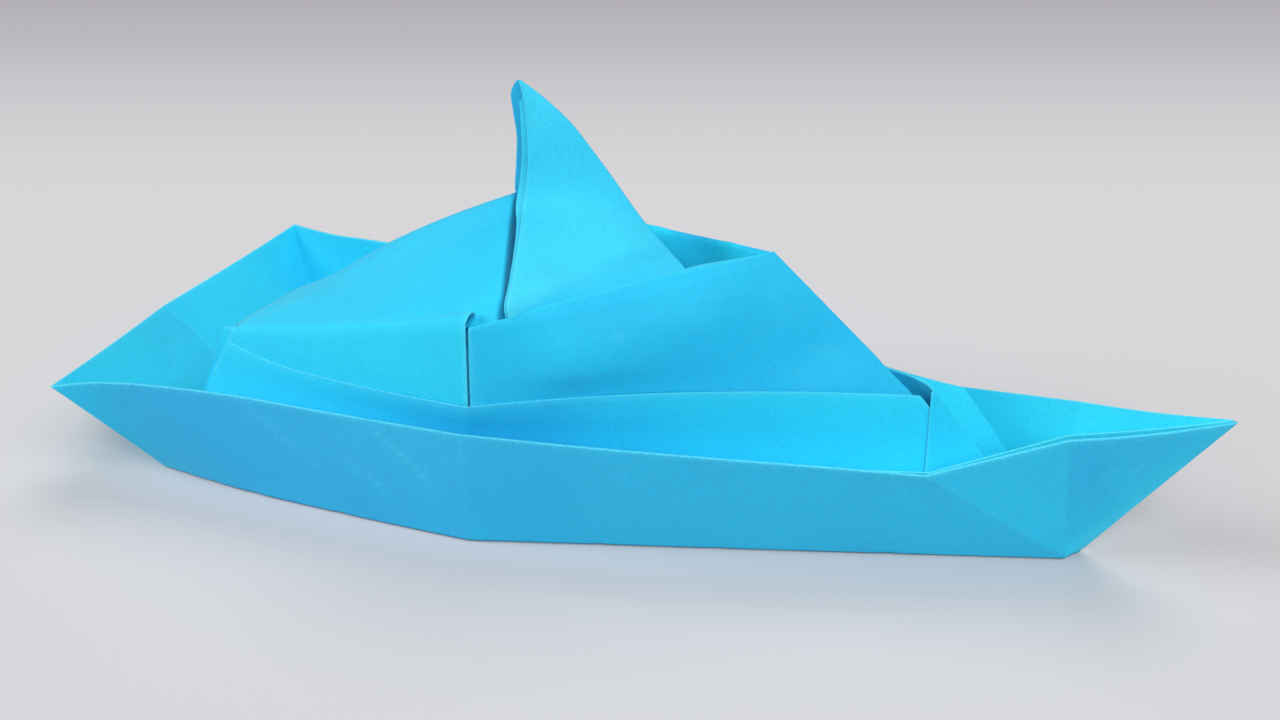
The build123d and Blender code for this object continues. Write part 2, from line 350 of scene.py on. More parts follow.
def paintLightBySide(solid, paintedLight, outer, dip):
    # painted light and shade: a thin leaf is painted paler as if light passed through it, the doubled walls
    # are painted duller from outside
    solid.update()
    outwards = np.full(len(solid.vertices), -1.0)
    for face in solid.polygons:
        out = face.normal.y * math.copysign(1.0, face.center.y)
        for index in face.vertices:
            outwards[index] = max(outwards[index], out)
    # a factor of painted light and shade on each point's colour
    layer = solid.attributes.new("paintedLight", "FLOAT_VECTOR", "POINT")
    for vert, out, value in zip(solid.vertices, outwards, layer.data):
        tone = paintedLight
        if outer:
            low, high = outer["range"]
            tone = blend(paintedLight, outer["paintedLight"], min(1.0, max(0.0, (out - low) / (high - low))))
        # painted shade that deepens near one place along the length
        if dip:
            near = math.exp(-((vert.co.x / mm - dip["at"]) / dip["reach"]) ** 2)
            tone = [part * (1 + (depth - 1) * near) for part, depth in zip(tone, dip["paintedLight"])]
        value.vector = tone


def paperPiece(name, leaves, paper, thickness, seed, cockleHeight=0.5, paintedLight=(1.0, 1.0, 1.0),
               outer=None, dip=None):
    net = leafMesh(name + "Net", leaves)
    obj = bpy.data.objects.new(name, net)
    bpy.context.scene.collection.objects.link(obj)
    modifier = obj.modifiers.new("ply", "NODES")
    modifier.node_group = ply
    for socket, value in (
        ("Thickness", thickness * mm),
        ("Cockle Height", cockleHeight * mm),
        ("Cockle Size", plyLook["cockleSize"]),
        ("Cockle Seed", seed),
        ("Paper", paper),
    ):
        modifier[socketKey(ply, socket)] = value
    sight = bpy.context.evaluated_depsgraph_get()
    solid = bpy.data.meshes.new_from_object(obj.evaluated_get(sight), depsgraph=sight)
    obj.modifiers.remove(modifier)
    obj.data = solid
    solid.name = name
    bpy.data.meshes.remove(net)
    paintLightBySide(solid, paintedLight, outer, dip)
    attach(obj, "root")
    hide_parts("folded_sheet")
    print("made", name, len(solid.polygons), "faces")


# Paper: a matt craft sheet, its fibres, its faint clouding, the folds and edges painted lighter as wear and
# as painted highlights, and the painted light and shade of each side

paperLook = {
    "colour": (0.004, 0.655, 0.935),
    "cloud": (0.003, 0.610, 0.905),
    # the paler colour of wear and of painted highlights
    "wornAndHighlit": (0.090, 0.770, 0.970),
    "cloudScale": 38.0,
    "cloudDetail": 4,
    "cloudRange": (0.38, 0.62),
    "fibreScale": 1900.0,
    "fibreDetail": 3,
    "fibreTwist": 1.4,
    "fibreRange": (0.3, 0.7),
    "fibreTone": (0.90, 1.08),   # fibres darken and lighten the sheet by this much
    "wearAndHighlightRange": (0.35, 0.6),    # fibres also break the paler wear and painted highlight up, down to the first share
    "wearAndHighlightShare": (0.25, 0.8),
    "roughness": (0.64, 0.84),
    "specular": 0.50,
    "sheen": 0.06,
    "sheenRoughness": 0.6,
    "grainScale": 6500.0,
    "grainDetail": 2,
    "grainHeight": 0.45,         # beside the height of the fibres
    "bump": 0.30,
    "bumpDepth": 0.05,
}


def mapRange(tree, value, fromRange, toRange=(0.0, 1.0)):
    node = addNode(tree, "ShaderNodeMapRange", inputs={
        "From Min": fromRange[0], "From Max": fromRange[1], "To Min": toRange[0], "To Max": toRange[1]})
    tree.links.new(value, node.inputs["Value"])
    return node.outputs["Result"]


def paperMaterial(name, look):
    material = bpy.data.materials.new(name)
    material.use_nodes = True
    tree = material.node_tree
    links = tree.links
    shader = tree.nodes["Principled BSDF"]
    place = addNode(tree, "ShaderNodeTexCoord")
    clouds = addNode(tree, "ShaderNodeTexNoise",
                     inputs={"Scale": look["cloudScale"], "Detail": look["cloudDetail"]})
    fibres = addNode(tree, "ShaderNodeTexNoise", inputs={
        "Scale": look["fibreScale"], "Detail": look["fibreDetail"], "Distortion": look["fibreTwist"]})
    grain = addNode(tree, "ShaderNodeTexNoise",
                    inputs={"Scale": look["grainScale"], "Detail": look["grainDetail"]})
    for texture in (clouds, fibres, grain):
        links.new(place.outputs["Object"], texture.inputs["Vector"])

    # colour: clouded, flecked by the fibres, with painted light and shade by side, and paler where it is
    # worn and where highlights are painted
    clouded = addNode(tree, "ShaderNodeMix", {"data_type": "RGBA"},
                      {"A": (*look["cloud"], 1), "B": (*look["colour"], 1)})
    links.new(mapRange(tree, clouds.outputs["Fac"], look["cloudRange"]), clouded.inputs["Factor"])
    flecked = addNode(tree, "ShaderNodeVectorMath", {"operation": "SCALE"})
    links.new(clouded.outputs["Result"], flecked.inputs[0])
    links.new(mapRange(tree, fibres.outputs["Fac"], look["fibreRange"], look["fibreTone"]),
              flecked.inputs["Scale"])
    # the painted light and shade of each point, laid on the colour
    paintedLight = addNode(tree, "ShaderNodeAttribute", {"attribute_name": "paintedLight"})
    withPaintedLight = addNode(tree, "ShaderNodeVectorMath", {"operation": "MULTIPLY"})
    links.new(flecked.outputs[0], withPaintedLight.inputs[0])
    links.new(paintedLight.outputs["Vector"], withPaintedLight.inputs[1])
    # the paler paint of wear and of painted highlights along folds and edges
    wearAndHighlight = addNode(tree, "ShaderNodeAttribute", {"attribute_name": "wearAndHighlight"})
    patchy = addNode(tree, "ShaderNodeMath", {"operation": "MULTIPLY"})
    links.new(wearAndHighlight.outputs["Fac"], patchy.inputs[0])
    links.new(mapRange(tree, fibres.outputs["Fac"], look["wearAndHighlightRange"], look["wearAndHighlightShare"]), patchy.inputs[1])
    wornAndHighlit = addNode(tree, "ShaderNodeMix", {"data_type": "RGBA"}, {"B": (*look["wornAndHighlit"], 1)})
    links.new(patchy.outputs[0], wornAndHighlit.inputs["Factor"])
    links.new(withPaintedLight.outputs[0], wornAndHighlit.inputs["A"])
    links.new(wornAndHighlit.outputs["Result"], shader.inputs["Base Color"])

    rough = mapRange(tree, fibres.outputs["Fac"], (0.0, 1.0), look["roughness"])
    links.new(rough, shader.inputs["Roughness"])
    shader.inputs["Specular IOR Level"].default_value = look["specular"]
    shader.inputs["Sheen Weight"].default_value = look["sheen"]
    shader.inputs["Sheen Roughness"].default_value = look["sheenRoughness"]
    heights = addNode(tree, "ShaderNodeMath", {"operation": "MULTIPLY_ADD"}, {1: look["grainHeight"]})
    links.new(grain.outputs["Fac"], heights.inputs[0])
    links.new(fibres.outputs["Fac"], heights.inputs[2])
    bump = addNode(tree, "ShaderNodeBump",
                   inputs={"Strength": look["bump"], "Distance": look["bumpDepth"] * mm})
    links.new(heights.outputs[0], bump.inputs["Height"])
    links.new(bump.outputs["Normal"], shader.inputs["Normal"])
    return material


ply = plyTree(plyLook)
bluePaper = paperMaterial("bluePaper", paperLook)
print("paper ready")

# Hull: a flat bottom, raked transom and sides, a facet and a leaf at each side of the bow

hullShape = {
    "heel": -98.0,               # bottom fold of the transom
    "sternHalf": 37.4,
    "transomRim": (-122.2, 0.0, 19.4),
    "transomMid": (-118.9, -25.0, 20.8),
    "sternCorner": (-115.3, -49.1, 23.0),
    "rim": [                     # near rim, from behind the stern corner to the bow facet
        (-109.0, -46.3, 23.7),
        (-101.5, -44.3, 24.1),
        (-90.0, -43.1, 24.7),
        (-76.0, -42.3, 25.2),
        (-52.0, -42.5, 25.8),
        (-21.6, -41.8, 26.2),
        (4.5, -36.9, 25.8),
        (28.0, -31.0, 25.0),
        (48.5, -25.2, 24.1),
    ],
    "farRim": [                  # the far rim draws in sooner towards the bow
        (-109.0, -46.3, 23.7),
        (-101.5, -44.3, 24.1),
        (-90.0, -43.1, 24.7),
        (-76.0, -42.3, 25.2),
        (-52.0, -42.0, 25.8),
        (-21.6, -40.9, 26.2),
        (4.5, -35.0, 25.7),
        (28.0, -28.4, 24.9),
        (49.0, -21.8, 23.9),
    ],
    "shoulder": (67.4, -19.6, 23.0),
    "cheek": (92.5, -8.3, 29.9),
    "leafRim": (107.0, -4.5, 32.1),
    "tip": (122.1, -0.04, 35.4),     # the halves all but touch along the keel fold
    "bottom": [                  # bottom fold under those rim points
        (-95.5, -37.7),
        (-92.0, -38.1),
        (-84.0, -39.1),
        (-73.0, -40.0),
        (-51.7, -40.5),
        (-21.5, -40.4),
        (4.5, -32.2),
        (27.0, -25.2),
        (60.5, -14.6),
    ],
    "creaseAt": 5,               # which of them is at the middle crease
    "cutwater": (94.3, -3.9, 0.6),
    "keelFoot": (97.6, -0.04, 1.4),
    "farCornerMid": (-109.2, -42.9, 9.6),
    "folds": (0, 2, 8, 12, 13, 15),
    "foldRound": 0.6,
    "near": {
        "bellies": [(0, 2, 0, 2, -0.6), (2, 8, 0, 2, 0.5), (8, 12, 0, 2, 0.7), (13, 15, 0, 2, 0.3)],
        "creases": [
            (0.1, 1.7, 1.5, 0.5, 0.35, 2.5),
            (6.2, 1.9, 6.9, 0.8, 0.22, 1.6),
            (7.0, 1.3, 7.5, 0.6, -0.18, 1.2),
            (7.3, 2.0, 7.8, 0.9, 0.16, 1.2),
            (13.5, 2.0, 13.9, 1.1, 0.3, 1.6),
            (13.9, 2.0, 14.3, 1.2, -0.2, 1.4),
        ],
    },
    "far": {
        "bellies": [(0, 2, 0, 2, 0.5), (2, 8, 0, 2, -0.7), (8, 12, 0, 2, -0.5), (13, 15, 0, 2, -0.4)],
        "creases": [(0.05, 1.9, 1.6, 1.0, 0.3, 1.2), (0.05, 1.5, 1.3, 0.4, 0.3, 1.2)],
    },
    "floor": 0.6,                # the bottom fold, a little above where the sheet rests
    "rest": 0.5,
    "restShare": 0.6,            # share of the width that rests
    "bottomBow": [(96.9, -0.3), (97.1, -0.1), (97.1, 0.1), (96.9, 0.3)],    # its last row
    "bottomFolds": (6, 10),
    "bottomStep": 4.0,
    # painted shade: the faces turned outwards are painted duller than those turned inwards
    "sheet": {"thickness": 0.5, "seed": 2.0, "outer": {"paintedLight": (3.0, 0.70, 0.86), "range": (0.80, 0.99)}},
}


def hullSide(shape, rim, cornerMid=None):
    floor, heel = shape["floor"], shape["heel"]
    edges = [
        ((heel, 0.0, floor), shape["transomRim"]),
        ((heel, -shape["sternHalf"] / 2, floor), shape["transomMid"]),
        ((heel, -shape["sternHalf"], floor), shape["sternCorner"]),
    ]
    edges += [((*foot, floor), top) for foot, top in zip(shape["bottom"], rim)]
    edges += [
        (shape["cutwater"], shape["shoulder"]),
        (shape["cutwater"], shape["cheek"]),
        (blend(shape["cutwater"], shape["keelFoot"], 0.5), shape["leafRim"]),
        (shape["keelFoot"], shape["tip"]),
    ]
    rows = [[foot, blend(foot, top, 0.5), top] for foot, top in edges]
    if cornerMid:
        rows[2][1] = cornerMid
    return rows


def hullBottomRows(shape):
    floor, rest, share = shape["floor"], shape["rest"], shape["restShare"]
    line = [(shape["heel"], -shape["sternHalf"])] + shape["bottom"] + [shape["cutwater"][:2]]
    rows = [[(x, y, floor), (x, share * y, rest), (x, -share * y, rest), (x, -y, floor)] for x, y in line]
    return rows + [[(x, y, floor) for x, y in shape["bottomBow"]]]


nearHull = hullSide(hullShape, hullShape["rim"])
farHull = mirrored(hullSide(hullShape, hullShape["farRim"], hullShape["farCornerMid"]))
hullLeaf = {"rowFolds": hullShape["folds"], "foldRound": hullShape["foldRound"], "raw": ("top",)}
paperPiece("hullSides", [
    leaf(nearHull, **hullLeaf, **hullShape["near"]),
    leaf(farHull, **hullLeaf, **hullShape["far"]),
    leaf(hullBottomRows(hullShape), rowFolds=hullShape["bottomFolds"], step=hullShape["bottomStep"], raw=()),
], bluePaper, **hullShape["sheet"])

# Bow lining: the inner ply of the bow, a little proud of the rim and loose from it

liningShape = {
    "back": [(60.0, -13.4, 1.2), (48.0, -24.4, 23.2)],
    "farBack": [(60.0, -13.4, 1.2), (48.5, -21.2, 23.1)],
    "shoulder": [(93.6, -3.1, 1.4), (67.9, -18.9, 23.4)],
    "cheek": [(93.6, -3.1, 1.4), (92.3, -7.3, 30.5)],
    "middle": [(95.2, -1.5, 2.0), (106.8, -3.6, 32.7)],
    "fold": [(96.8, -0.04, 2.6), (121.5, -0.04, 35.75)],
    "folds": (1, 2, 4),
    "bellies": [(2, 4, 0, 1, 0.3)],
    "farBellies": [(1, 2, 0, 1, -0.3), (2, 4, 0, 1, -0.4)],
    # painted light: the lining is painted paler than the rest of the paper
    "sheet": {"thickness": 0.26, "cockleHeight": 0.3, "seed": 3.0, "paintedLight": (6.0, 1.22, 1.06)},
}
liningTail = [liningShape[key] for key in ("shoulder", "cheek", "middle", "fold")]
farLining = mirrored([liningShape["farBack"]] + liningTail)
paperPiece("bowLining", [
    leaf([liningShape["back"]] + liningTail, rowFolds=liningShape["folds"], bellies=liningShape["bellies"]),
    leaf(farLining, rowFolds=liningShape["folds"], bellies=liningShape["farBellies"]),
], bluePaper, **liningShape["sheet"])

# Side panels behind the middle crease, their top fold rounded over and turned down inside

panelShape = {
    "feet": [
        (-97.3, -35.1, 0.5),
        (-78.0, -37.4, 0.5),
        (-58.0, -38.1, 0.5),
        (-40.0, -38.2, 0.5),
        (-21.9, -38.1, 0.5),
    ],
    "quarter": (-83.5, -26.7, 31.6),             # the top runs straight from here to the slit
    "slit": (-21.9, -35.9, 47.9),
    "shares": (0.5, 0.96),                       # rows of points between the foot and the top
    "farDrop": [6.0, 4.4, 3.0, 2.6, 2.8],        # the far panel leans lower towards the stern
    "belly": 0.5,
    "hemWidth": [1.3, 1.4, 1.5, 2.0, 4.4],       # it curls wide at the slit
    "hemRise": [0.5, 0.5, 0.5, 0.6, 1.1],
    "hemDrop": 7.0,
    "sliver": [
        [(-90.6, -31.6, 15.0), (-88.0, -31.6, 15.0)],
        [(-88.2, -29.2, 23.0), (-84.0, -28.6, 23.0)],
        [(-86.0, -26.1, 31.9), (-80.0, -26.3, 32.4)],
    ],
    "sheet": {"thickness": 0.3, "seed": 4.0},
}

hemCurve = {
    "over": [(0.0, 0.0), (0.3, 0.8), (0.7, 1.0), (1.0, 0.3)],    # shares of the width and of the rise
    "inside": [(1.05, 0.3), (1.05, 1.0)],                        # of the width and of the drop and lean
}


def turnedTop(head, width, rise, drop, lean=0.0):
    # the rounded fold at a panel's top and the part that hangs inside it, which may lean further in
    over = [moved(head, y=across * width, z=up * rise) for across, up in hemCurve["over"]]
    inside = [moved(head, y=across * width + down * lean, z=-down * drop)
              for across, down in hemCurve["inside"]]
    return over + inside


def sidePanelRows(shape, drops):
    rows = []
    for i, (foot, drop) in enumerate(zip(shape["feet"], drops)):
        head = moved(blend(shape["quarter"], shape["slit"], i / (len(drops) - 1)), z=-drop)
        rise = [blend(foot, head, share) for share in shape["shares"]]
        hem = turnedTop(head, shape["hemWidth"][i], shape["hemRise"][i], shape["hemDrop"])
        rows.append([foot] + rise + hem)
    return rows


panelRows = sidePanelRows(panelShape, [0.0] * len(panelShape["feet"]))
farPanelRows = sidePanelRows(panelShape, panelShape["farDrop"])
paperPiece("rearSides", [
    leaf(panelRows, bellies=[(0, 4, 0, 3, panelShape["belly"])], raw=("first", "last")),
    leaf(mirrored(farPanelRows), bellies=[(0, 4, 0, 3, -panelShape["belly"])], raw=("first", "last")),
    leaf(panelShape["sliver"]),
], bluePaper, **panelShape["sheet"])

# Inner band: a raw edge along each side, closed at the bow by a fold whose lap covers the near end

bandShape = {
    "setIn": 1.7,
    "footHeight": 0.4,
    "footOut": 0.35,                             # how far its foot stands outside the side panel's
    "edge": [29.4, 28.3, 28.7, 29.3, 30.0],
    "highest": 0.94,                             # it never passes this share of the side panel
    "lift": [0.05, 0.2, 0.4, 0.5, 0.5],          # how far the edge stands off the side panel
    "bowEdge": [(-9.0, -31.2, 30.9), (3.7, -25.8, 31.7), (16.3, -20.0, 31.8), (31.8, -12.8, 31.4)],
    "nearEnd": [(64.0, (62.0, -0.9, 30.2)), (67.0, (64.8, -1.2, 27.4))],    # place of the foot, edge
    "farEnd": [(50.0, (48.0, 7.4, 31.6)), (64.0, (57.0, 4.4, 31.9)), (78.0, (62.0, 2.0, 31.9))],
    "nose": [(91.5, 0.0, 0.5), (64.4, 0.0, 31.4)],
    "lap": [(66.2, -11.8, 0.4), (64.2, -0.7, 31.1)],
    "bellies": [(0, 4, 0, 1, 0.5), (4, 9, 0, 1, 0.5)],
    "farBellies": [(0, 4, 0, 1, -0.5), (4, 12, 0, 1, -0.5)],
    "folds": (4, 9),
    "farFolds": (4, 12),
    "farFoldRound": 0.6,
    "sheet": {
        "thickness": 0.26,
        "cockleHeight": 0.3,
        "seed": 5.0,
        # painted light: the band is painted a little paler with less red, and painted shade deepens it
        # towards the middle crease
        "paintedLight": (0.4, 1.04, 1.02),
        "dip": {"at": -18.0, "reach": 32.0, "paintedLight": (0.1, 0.74, 0.9)},  # least light, at the middle crease
    },
}


def bottomHalf(x):
    # half width of the bottom in front of the middle crease
    crease, cutwater = hullShape["bottom"][hullShape["creaseAt"]], hullShape["cutwater"]
    return -crease[1] + (cutwater[1] - crease[1]) * (crease[0] - x) / (cutwater[0] - crease[0])


def bandFoot(x, side=-1):
    return (x, side * (bottomHalf(x) - bandShape["setIn"]), bandShape["footHeight"])


def sternBandRows(shape, panel):
    rows = []
    for i, (row, lift) in enumerate(zip(panel, shape["lift"])):
        foot, head = row[0], row[len(panelShape["shares"]) + 1]
        share = min((shape["edge"][i] - foot[2]) / (head[2] - foot[2]), shape["highest"])
        out = lift + panelShape["belly"] * math.sin(math.pi * i / (len(panel) - 1))
        rows.append([moved(foot, y=-shape["footOut"]), moved(blend(foot, head, share), y=-out)])
    return rows


bowBand = [[bandFoot(edge[0]), edge] for edge in bandShape["bowEdge"]]
nearEnd = [[bandFoot(x), edge] for x, edge in bandShape["nearEnd"]]
farEnd = [[bandFoot(x, 1), edge] for x, edge in bandShape["farEnd"]]
nearBand = sternBandRows(bandShape, panelRows) + bowBand + nearEnd
farBand = mirrored(sternBandRows(bandShape, farPanelRows) + bowBand) + farEnd
paperPiece("innerBand", [
    leaf(nearBand, rowFolds=bandShape["folds"], foldWearAndHighlight=0.0, bellies=bandShape["bellies"]),
    leaf(farBand + [bandShape["nose"], bandShape["lap"]], rowFolds=bandShape["farFolds"],
         foldRound=bandShape["farFoldRound"], bellies=bandShape["farBellies"]),
], bluePaper, **bandShape["sheet"])

# Hood: two sides leaning in to a ridge, each with a knee at the band's edge

hoodShape = {
    "slitFoot": (-21.4, -38.0, 0.5),
    "slitKnee": (-21.4, -36.6, 30.2),
    "slitTop": (-21.2, -36.2, 46.6),
    "farSlitTop": (-21.1, -36.2, 43.6),
    "peak": (30.1, 0.0, 56.3),
    "ridgeKnee": (60.0, 0.0, 30.0),
    "ridgeFloor": (90.0, 0.0, 0.5),
    "stations": (0.0, 0.25, 0.5, 0.75, 1.0),     # from the slit to the ridge
    "shares": (0.5, 0.96),                       # rows of points between the knee and the top
    "hemWidth": 0.7,
    "hemNarrows": 0.8,                           # by this much towards the ridge
    "hemRise": 0.25,
    "hem": (5.0, 0.0),                           # how far the turned-in part hangs down and leans in
    "farHem": (11.0, 3.0),
    "leaf": {"columnFolds": (1,), "step": 1.3, "raw": ("first",)},
    "bellies": [(0, 4, 1, 4, 1.0)],
    "farBellies": [(0, 4, 1, 4, -1.0)],
    "creases": [
        (0.5, 1.8, 3.5, 2.55, 2.9, 8.5),
        (2.9, 1.3, 4.0, 1.9, -1.1, 6.0),
        (3.45, 1.75, 3.7, 1.6, -0.25, 1.2),
        (1.6, 2.5, 1.75, 2.2, -0.1, 0.8),
    ],
    "sheet": {
        "thickness": 0.3,
        "seed": 6.0,
        # painted light on the faces turned inwards, where little lamp light reaches; painted shade on the
        # faces turned outwards
        "paintedLight": (0.3, 1.15, 1.07),
        "outer": {"paintedLight": (0.3, 0.87, 0.98), "range": (0.0, 0.3)},
    },
}


def hoodRows(shape, slitTop, drop, lean):
    rows = []
    for station in shape["stations"]:
        foot = blend(shape["slitFoot"], shape["ridgeFloor"], station)
        knee = blend(shape["slitKnee"], shape["ridgeKnee"], station)
        top = blend(slitTop, shape["peak"], station)
        width = shape["hemWidth"] * (1 - shape["hemNarrows"] * station)
        rise = [blend(knee, top, share) for share in shape["shares"]]
        hem = turnedTop(top, width, shape["hemRise"], drop, lean * (1 - station))
        rows.append([foot, knee] + rise + hem)
    return rows


nearHood = hoodRows(hoodShape, hoodShape["slitTop"], *hoodShape["hem"])
farHood = mirrored(hoodRows(hoodShape, hoodShape["farSlitTop"], *hoodShape["farHem"]))
paperPiece("hood", [
    leaf(nearHood, bellies=hoodShape["bellies"], creases=hoodShape["creases"], **hoodShape["leaf"]),
    leaf(farHood, bellies=hoodShape["farBellies"], **hoodShape["leaf"]),
], bluePaper, **hoodShape["sheet"])

# Roof: a broad low ridge, level at the stern, rising and running in under the fin

roofShape = {
    "sections": [   # near foot, bend, slope, shoulder, ridge, then the far side down to its foot
        [(-82.6, -26.0, 30.6), (-82.6, -25.3, 32.5), (-82.2, -17.0, 32.4),
         (-82.0, -8.0, 31.8), (-81.8, 0.4, 31.0), (-81.8, 8.0, 29.2),
         (-81.8, 17.0, 27.4), (-81.8, 24.4, 25.8), (-81.8, 25.6, 23.8)],
        [(-75.0, -27.1, 32.2), (-75.0, -26.3, 34.2), (-75.0, -17.0, 34.7),
         (-75.0, -6.8, 34.5), (-75.0, 0.0, 34.5), (-75.0, 7.0, 33.0),
         (-75.0, 17.0, 30.4), (-75.0, 25.0, 27.8), (-75.0, 26.2, 25.6)],
        [(-60.0, -29.3, 35.4), (-60.0, -28.4, 37.9), (-60.0, -17.5, 39.4),
         (-60.0, -6.6, 41.8), (-60.0, 0.0, 44.3), (-60.0, 6.6, 42.6),
         (-60.0, 17.0, 39.0), (-60.0, 28.0, 34.6), (-60.0, 29.2, 32.2)],
        [(-40.0, -32.0, 41.2), (-40.0, -30.4, 43.6), (-40.0, -18.0, 47.9),
         (-40.0, -6.6, 52.7), (-40.0, 0.0, 55.3), (-40.0, 6.6, 52.9),
         (-40.0, 18.0, 46.8), (-40.0, 30.0, 42.0), (-40.0, 31.8, 39.6)],
        [(-28.0, -33.8, 44.4), (-28.0, -30.6, 46.6), (-28.0, -18.0, 52.2),
         (-28.0, -6.4, 58.5), (-28.0, 0.0, 61.0), (-28.0, 6.4, 57.6),
         (-28.0, 18.0, 51.6), (-28.0, 30.0, 45.4), (-28.0, 33.4, 42.8)],
    ],
    "edge": [       # the front edge, in the same order
        (-17.4, -32.2, 46.6), (-18.4, -26.8, 50.6), (-21.6, -18.0, 54.0),
        (-25.6, -6.3, 58.8), (-27.0, 0.0, 61.3), (-27.5, 6.3, 58.6),
        (-26.5, 18.0, 52.8), (-25.0, 29.5, 47.0), (-24.0, 32.4, 43.6)],
    "tuck": (1.6, 0.9, -6.0),     # the front end turns down and in, into the fin's opening
    "leaf": {
        "rowFolds": (5,),
        "columnFolds": (1, 3, 5, 7),
        "step": 1.2,
        "foldRound": 0.9,
        # its folds painted paler, as wear and as a painted highlight
        "foldWearAndHighlight": 0.12,
        "raw": ("first",),
        "creases": [
            (0.2, 2.3, 1.4, 2.0, 0.3, 1.1),
            (0.9, 1.2, 1.3, 2.6, 0.35, 0.9),
            (0.35, 1.6, 0.9, 1.9, -0.3, 0.8),
        ],
    },
    # painted shade: the roof is painted a little darker
    "sheet": {"thickness": 0.28, "seed": 7.0, "paintedLight": (0.9, 0.93, 0.98)},
    "rimGap": (-0.9, -0.3),       # the second edge under the rear rim, behind and below it
    "rimDrop": (0.7, -5.0),
    "rimLeaf": {"columnFolds": (1, 7), "foldRound": 1.0, "raw": ("first",)},
    # painted shadow: the second edge under the rim is painted dark, as the shade of the gap beneath the rim
    "rimSheet": {"thickness": 0.26, "seed": 7.0, "paintedLight": (0.3, 0.45, 0.62)},
}
tuckRun, tuckShare, tuckDrop = roofShape["tuck"]
roofTuck = [(x + tuckRun, y * tuckShare, z + tuckDrop) for x, y, z in roofShape["edge"]]
roofRows = roofShape["sections"] + [roofShape["edge"], roofTuck]
roofLeaf = leaf(roofRows, **roofShape["leaf"])
paperPiece("roof", [roofLeaf], bluePaper, **roofShape["sheet"])

back, below = roofShape["rimGap"]
inward, down = roofShape["rimDrop"]
underRim = [moved(point, x=back, z=below) for point in roofShape["sections"][0]]
underInner = [moved(point, x=inward, z=down) for point in underRim]
rimLeaf = leaf([underRim, underInner], **roofShape["rimLeaf"])
paperPiece("roofRim", [rimLeaf], bluePaper, **roofShape["rimSheet"])

# Fin: two halves joined along the front fold, open behind, spread over the roof at their foot

finShape = {
    "apart": 0.04,                # the halves all but touch along the front fold
    "front": [                    # x and z of the front fold, down from the tip
        (-25.1, 86.3), (-22.6, 84.9), (-19.8, 83.1), (-14.3, 78.8), (-9.0, 72.8), (-4.5, 67.3),
        (-0.1, 61.6), (4.0, 56.8), (8.1, 52.8), (11.8, 48.8), (14.5, 44.5)],
    "nearEdge": [                 # the open back edge and the foot, row by row with the front
        (-24.9, -0.7, 86.2), (-23.6, -1.6, 82.4), (-22.9, -2.3, 77.4), (-22.5, -3.0, 71.6),
        (-22.7, -3.6, 66.0), (-22.9, -5.4, 61.4), (-21.3, -10.2, 59.0), (-19.2, -17.0, 56.2),
        (-17.0, -24.6, 53.0), (-15.0, -31.4, 50.0), (-14.2, -30.8, 45.6)],
    "farEdge": [
        (-26.0, 0.6, 86.0), (-27.7, 1.3, 83.3), (-27.7, 1.9, 78.7), (-27.4, 2.5, 73.6),
        (-28.1, 3.2, 67.0), (-28.6, 3.4, 60.6), (-28.2, 5.4, 57.6), (-27.6, 14.0, 56.4),
        (-25.2, 23.0, 52.6), (-22.4, 31.0, 48.6), (-21.6, 31.0, 44.4)],
    "leaf": {"step": 1.0, "raw": ("foot",)},
    "bellies": [(0, 10, 0, 2, -0.35)],
    "farBellies": [(0, 10, 0, 2, 0.35)],
    "creases": [(8.7, 0.1, 7.5, 1.9, 1.1, 4.0), (7.1, 1.8, 7.6, 1.6, -0.3, 0.9)],
    "innerStep": (-1.0, 1.0, -0.7),     # the near half's inner ply shows behind the outer one
    "innerFront": (-1.2, -1.0),
    "innerSwell": [0.2, 0.5, 0.7, 0.8, 1.0, 1.0, 0.4, 0.1, 0.0, 0.0, 0.0],
    "innerBellies": [(0, 9, 0, 2, -0.35)],
    "innerCreases": [(3.4, 0.0, 4.6, 0.22, 0.45, 0.9), (3.7, 0.06, 5.0, 0.2, -0.35, 0.6)],
    "sheet": {
        "thickness": 0.24,
        "cockleHeight": 0.6,
        "seed": 8.0,
        # painted shade on the faces turned inwards, for the dark gaps between the plies; painted light on
        # the faces turned outwards, as if light passed through the thin fin
        "paintedLight": (0.4, 0.72, 0.86),
        "outer": {"paintedLight": (8.0, 1.05, 1.04), "range": (-0.2, 0.3)},
    },
}


def finSide(front, edge, apart):
    return [[end, blend(end, (x, apart, z), 0.5), (x, apart, z)] for end, (x, z) in zip(edge, front)]


def finInnerRows(shape):
    # the inner ply leaves out the first row, at the tip
    stepX, stepY, stepZ = shape["innerStep"]
    frontX, frontZ = shape["innerFront"]
    edge = [moved(point, x=stepX - swell, y=stepY, z=stepZ)
            for point, swell in zip(shape["nearEdge"], shape["innerSwell"])]
    front = [(x + frontX, z + frontZ) for x, z in shape["front"]]
    return finSide(front, edge, 0.0)[1:]


nearFin = finSide(finShape["front"], finShape["nearEdge"], -finShape["apart"])
farFin = finSide(finShape["front"], finShape["farEdge"], finShape["apart"])
innerFin = finInnerRows(finShape)
paperPiece("fin", [
    leaf(nearFin, bellies=finShape["bellies"], creases=finShape["creases"], **finShape["leaf"]),
    leaf(farFin, bellies=finShape["farBellies"], **finShape["leaf"]),
    leaf(innerFin, bellies=finShape["innerBellies"], creases=finShape["innerCreases"], **finShape["leaf"]),
], bluePaper, **finShape["sheet"])

# Floor, a pale seamless sheet, painted darker towards the back as painted shade

floorLook = {
    "near": (0.645, 0.638, 0.655),
    "far": (0.420, 0.400, 0.435),
    "half": 4.0,         # metres, as are the next two
    # where the painted shade begins and where it is full
    "darkFrom": 0.15,
    "darkTo": 0.45,
    "turn": 20.6,        # degrees from the boat's length to the picture's width
    "roughness": 0.9,
    "specular": 0.1,
}


